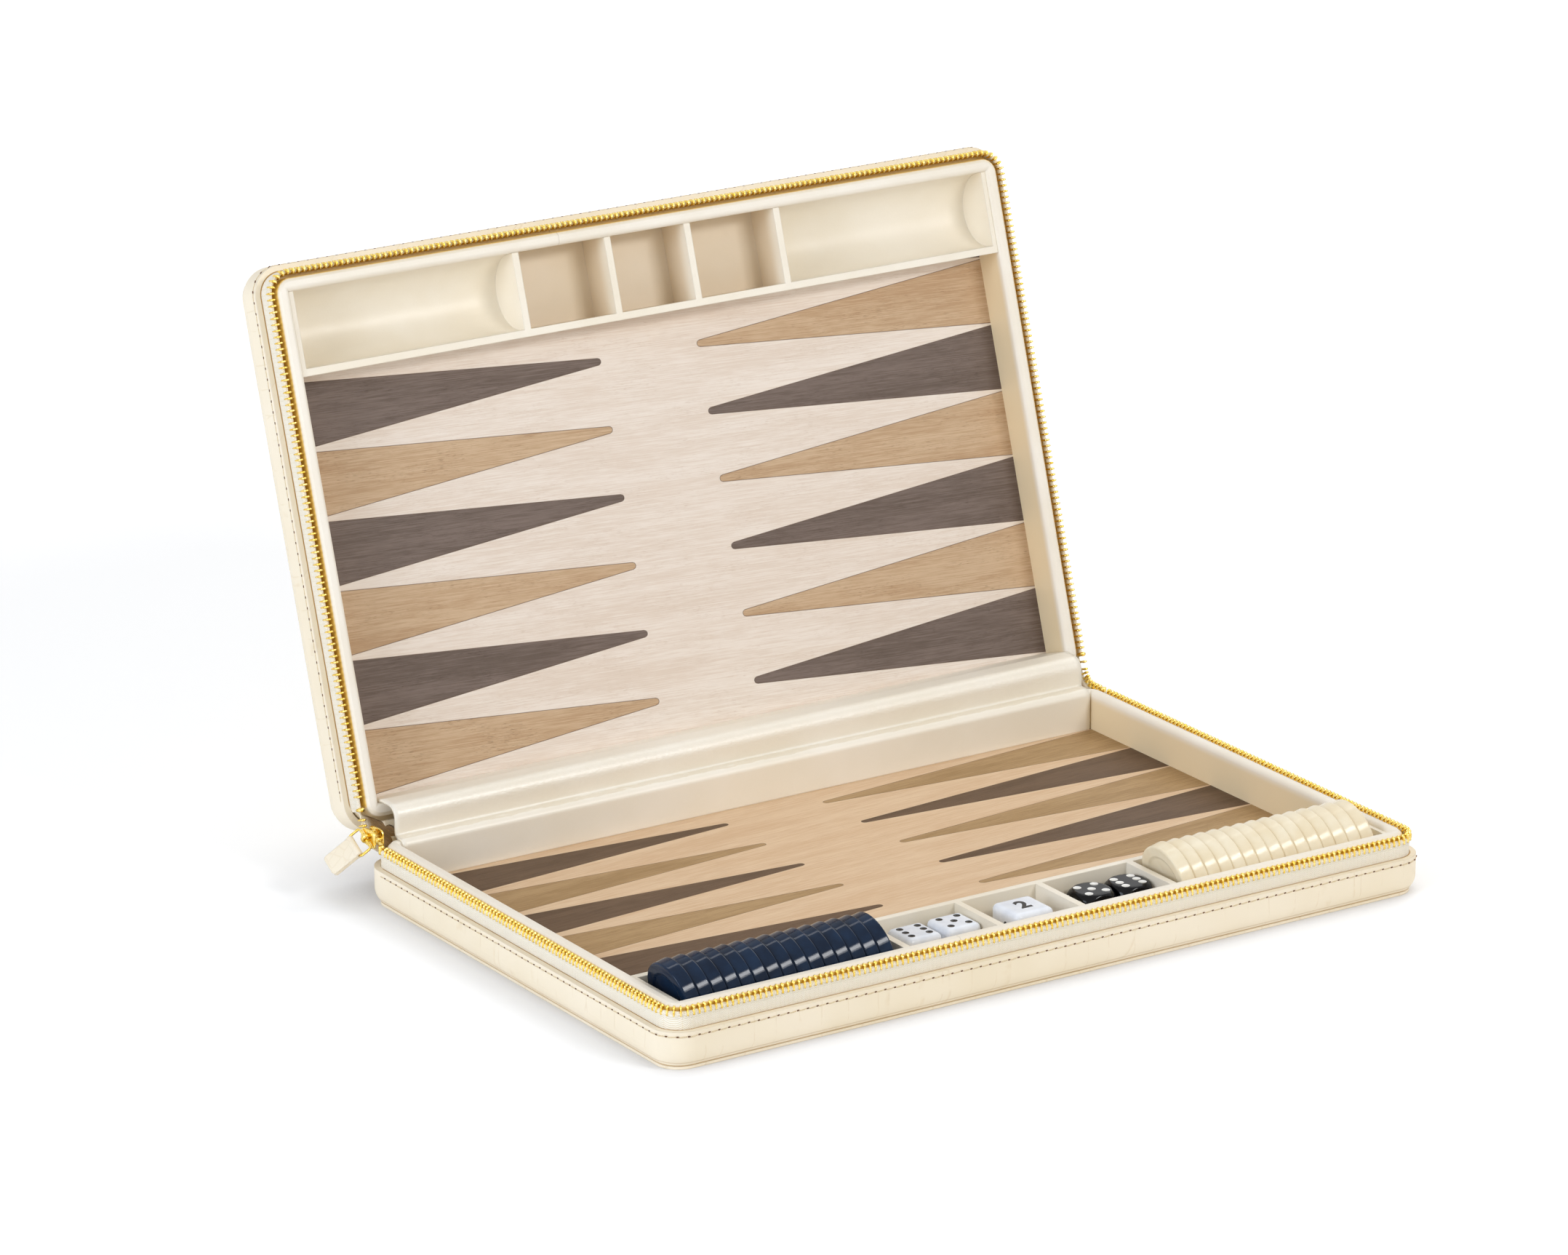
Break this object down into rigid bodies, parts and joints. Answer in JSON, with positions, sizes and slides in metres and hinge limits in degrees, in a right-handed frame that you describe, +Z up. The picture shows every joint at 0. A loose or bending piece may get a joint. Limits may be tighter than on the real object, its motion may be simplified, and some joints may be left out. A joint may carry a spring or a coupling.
{
  "type": "backgammon set",
  "caption": "Zipped leather travel case that opens into a backgammon board, with checkers, dice and a doubling cube in its lined trays.",
  "frame": {"origin": "centre of the base tray's underside", "axes": "+X to the right along the hinge, +Y from the front towards the hinge, +Z up"},
  "size_m": [0.3676, 0.319, 0.2403],
  "materials": {
    "outer_leather": "satin",
    "inner_leather": "satin",
    "light_veneer": "satin",
    "tan_veneer": "satin",
    "dark_veneer": "satin",
    "zip_tape": "matte",
    "gilt_metal": "polished",
    "navy_resin": "gloss",
    "cream_resin": "gloss",
    "white_resin": "gloss",
    "black_resin": "gloss"
  },
  "bodies": {
    "base": {"base_bottom_panel": "outer_leather", "base_side_wall": "outer_leather", "base_frame": "inner_leather", "base_board": "light_veneer", "base_dark_points": "dark_veneer", "base_tan_points": "tan_veneer", "base_organizer": "inner_leather", "base_zipper_tape": "zip_tape", "base_zipper_teeth": "gilt_metal", "hinge_strip": "inner_leather", "spine": "outer_leather"},
    "lid": {"lid_bottom_panel": "outer_leather", "lid_side_wall": "outer_leather", "lid_frame": "inner_leather", "lid_board": "light_veneer", "lid_dark_points": "dark_veneer", "lid_tan_points": "tan_veneer", "lid_organizer": "inner_leather", "lid_zipper_tape": "zip_tape", "lid_zipper_teeth": "gilt_metal"},
    "slider": {"zipper_slider": "gilt_metal"},
    "bail": {"pull_bail": "gilt_metal"},
    "pull": {"pull_tab": "outer_leather"},
    "navy_checker_01": {"navy_checker_01": "navy_resin"},
    "navy_checker_02": {"navy_checker_02": "navy_resin"},
    "navy_checker_03": {"navy_checker_03": "navy_resin"},
    "navy_checker_04": {"navy_checker_04": "navy_resin"},
    "navy_checker_05": {"navy_checker_05": "navy_resin"},
    "navy_checker_06": {"navy_checker_06": "navy_resin"},
    "navy_checker_07": {"navy_checker_07": "navy_resin"},
    "navy_checker_08": {"navy_checker_08": "navy_resin"},
    "navy_checker_09": {"navy_checker_09": "navy_resin"},
    "navy_checker_10": {"navy_checker_10": "navy_resin"},
    "navy_checker_11": {"navy_checker_11": "navy_resin"},
    "navy_checker_12": {"navy_checker_12": "navy_resin"},
    "navy_checker_13": {"navy_checker_13": "navy_resin"},
    "navy_checker_14": {"navy_checker_14": "navy_resin"},
    "navy_checker_15": {"navy_checker_15": "navy_resin"},
    "cream_checker_01": {"cream_checker_01": "cream_resin"},
    "cream_checker_02": {"cream_checker_02": "cream_resin"},
    "cream_checker_03": {"cream_checker_03": "cream_resin"},
    "cream_checker_04": {"cream_checker_04": "cream_resin"},
    "cream_checker_05": {"cream_checker_05": "cream_resin"},
    "cream_checker_06": {"cream_checker_06": "cream_resin"},
    "cream_checker_07": {"cream_checker_07": "cream_resin"},
    "cream_checker_08": {"cream_checker_08": "cream_resin"},
    "cream_checker_09": {"cream_checker_09": "cream_resin"},
    "cream_checker_10": {"cream_checker_10": "cream_resin"},
    "cream_checker_11": {"cream_checker_11": "cream_resin"},
    "cream_checker_12": {"cream_checker_12": "cream_resin"},
    "cream_checker_13": {"cream_checker_13": "cream_resin"},
    "cream_checker_14": {"cream_checker_14": "cream_resin"},
    "cream_checker_15": {"cream_checker_15": "cream_resin"},
    "white_die_1": {"white_die_1": "white_resin"},
    "white_die_2": {"white_die_2": "white_resin"},
    "black_die_1": {"black_die_1": "black_resin"},
    "black_die_2": {"black_die_2": "black_resin"},
    "doubling_cube": {"doubling_cube": "white_resin"}
  },
  "joints": [
    {"name": "lid_hinge", "type": "hinge", "parent": "base", "child": "lid", "pos_m": [0, 0.11475, 0.0246], "axis": [-1, 0, 0], "range_deg": [-107.4, 72.6], "deforming": ["hinge_strip", "spine"]},
    {"name": "zip_slide", "type": "slide", "parent": "base", "child": "slider", "axis": [0, -1, 0], "range_m": [0, 0.2]},
    {"name": "bail_swing", "type": "hinge", "parent": "slider", "child": "bail", "pos_m": [-0.17719, 0.1105, 0.0264], "axis": [0, 0.866, 0.5], "range_deg": [-28, 110]},
    {"name": "pull_swing", "type": "hinge", "parent": "bail", "child": "pull", "pos_m": [-0.181, 0.11255, 0.02285], "axis": [0, 0.866, 0.5], "range_deg": [-10, 45]},
    {"name": "lift_navy_checker_01", "type": "slide", "parent": "base", "child": "navy_checker_01", "axis": [-0.23, 0, 0.9732], "range_m": [0, 0.04]},
    {"name": "lift_navy_checker_02", "type": "slide", "parent": "base", "child": "navy_checker_02", "axis": [-0.23, 0, 0.9732], "range_m": [0, 0.04]},
    {"name": "lift_navy_checker_03", "type": "slide", "parent": "base", "child": "navy_checker_03", "axis": [-0.23, 0, 0.9732], "range_m": [0, 0.04]},
    {"name": "lift_navy_checker_04", "type": "slide", "parent": "base", "child": "navy_checker_04", "axis": [-0.23, 0, 0.9732], "range_m": [0, 0.04]},
    {"name": "lift_navy_checker_05", "type": "slide", "parent": "base", "child": "navy_checker_05", "axis": [-0.23, 0, 0.9732], "range_m": [0, 0.04]},
    {"name": "lift_navy_checker_06", "type": "slide", "parent": "base", "child": "navy_checker_06", "axis": [-0.23, 0, 0.9732], "range_m": [0, 0.04]},
    {"name": "lift_navy_checker_07", "type": "slide", "parent": "base", "child": "navy_checker_07", "axis": [-0.23, 0, 0.9732], "range_m": [0, 0.04]},
    {"name": "lift_navy_checker_08", "type": "slide", "parent": "base", "child": "navy_checker_08", "axis": [-0.23, 0, 0.9732], "range_m": [0, 0.04]},
    {"name": "lift_navy_checker_09", "type": "slide", "parent": "base", "child": "navy_checker_09", "axis": [-0.23, 0, 0.9732], "range_m": [0, 0.04]},
    {"name": "lift_navy_checker_10", "type": "slide", "parent": "base", "child": "navy_checker_10", "axis": [-0.23, 0, 0.9732], "range_m": [0, 0.04]},
    {"name": "lift_navy_checker_11", "type": "slide", "parent": "base", "child": "navy_checker_11", "axis": [-0.23, 0, 0.9732], "range_m": [0, 0.04]},
    {"name": "lift_navy_checker_12", "type": "slide", "parent": "base", "child": "navy_checker_12", "axis": [-0.23, 0, 0.9732], "range_m": [0, 0.04]},
    {"name": "lift_navy_checker_13", "type": "slide", "parent": "base", "child": "navy_checker_13", "axis": [-0.23, 0, 0.9732], "range_m": [0, 0.04]},
    {"name": "lift_navy_checker_14", "type": "slide", "parent": "base", "child": "navy_checker_14", "axis": [-0.23, 0, 0.9732], "range_m": [0, 0.04]},
    {"name": "lift_navy_checker_15", "type": "slide", "parent": "base", "child": "navy_checker_15", "axis": [-0.23, 0, 0.9732], "range_m": [0, 0.04]},
    {"name": "lift_cream_checker_01", "type": "slide", "parent": "base", "child": "cream_checker_01", "axis": [-0.23, 0, 0.9732], "range_m": [0, 0.04]},
    {"name": "lift_cream_checker_02", "type": "slide", "parent": "base", "child": "cream_checker_02", "axis": [-0.23, 0, 0.9732], "range_m": [0, 0.04]},
    {"name": "lift_cream_checker_03", "type": "slide", "parent": "base", "child": "cream_checker_03", "axis": [-0.23, 0, 0.9732], "range_m": [0, 0.04]},
    {"name": "lift_cream_checker_04", "type": "slide", "parent": "base", "child": "cream_checker_04", "axis": [-0.23, 0, 0.9732], "range_m": [0, 0.04]},
    {"name": "lift_cream_checker_05", "type": "slide", "parent": "base", "child": "cream_checker_05", "axis": [-0.23, 0, 0.9732], "range_m": [0, 0.04]},
    {"name": "lift_cream_checker_06", "type": "slide", "parent": "base", "child": "cream_checker_06", "axis": [-0.23, 0, 0.9732], "range_m": [0, 0.04]},
    {"name": "lift_cream_checker_07", "type": "slide", "parent": "base", "child": "cream_checker_07", "axis": [-0.23, 0, 0.9732], "range_m": [0, 0.04]},
    {"name": "lift_cream_checker_08", "type": "slide", "parent": "base", "child": "cream_checker_08", "axis": [-0.23, 0, 0.9732], "range_m": [0, 0.04]},
    {"name": "lift_cream_checker_09", "type": "slide", "parent": "base", "child": "cream_checker_09", "axis": [-0.23, 0, 0.9732], "range_m": [0, 0.04]},
    {"name": "lift_cream_checker_10", "type": "slide", "parent": "base", "child": "cream_checker_10", "axis": [-0.23, 0, 0.9732], "range_m": [0, 0.04]},
    {"name": "lift_cream_checker_11", "type": "slide", "parent": "base", "child": "cream_checker_11", "axis": [-0.23, 0, 0.9732], "range_m": [0, 0.04]},
    {"name": "lift_cream_checker_12", "type": "slide", "parent": "base", "child": "cream_checker_12", "axis": [-0.23, 0, 0.9732], "range_m": [0, 0.04]},
    {"name": "lift_cream_checker_13", "type": "slide", "parent": "base", "child": "cream_checker_13", "axis": [-0.23, 0, 0.9732], "range_m": [0, 0.04]},
    {"name": "lift_cream_checker_14", "type": "slide", "parent": "base", "child": "cream_checker_14", "axis": [-0.23, 0, 0.9732], "range_m": [0, 0.04]},
    {"name": "lift_cream_checker_15", "type": "slide", "parent": "base", "child": "cream_checker_15", "axis": [-0.23, 0, 0.9732], "range_m": [0, 0.04]},
    {"name": "lift_white_die_1", "type": "slide", "parent": "base", "child": "white_die_1", "axis": [0, 0, 1], "range_m": [0, 0.02]},
    {"name": "lift_white_die_2", "type": "slide", "parent": "base", "child": "white_die_2", "axis": [0, 0, 1], "range_m": [0, 0.02]},
    {"name": "lift_black_die_1", "type": "slide", "parent": "base", "child": "black_die_1", "axis": [0, 0, 1], "range_m": [0, 0.02]},
    {"name": "lift_black_die_2", "type": "slide", "parent": "base", "child": "black_die_2", "axis": [0, 0, 1], "range_m": [0, 0.02]},
    {"name": "lift_doubling_cube", "type": "slide", "parent": "base", "child": "doubling_cube", "axis": [0, 0, 1], "range_m": [0, 0.03]}
  ]
}
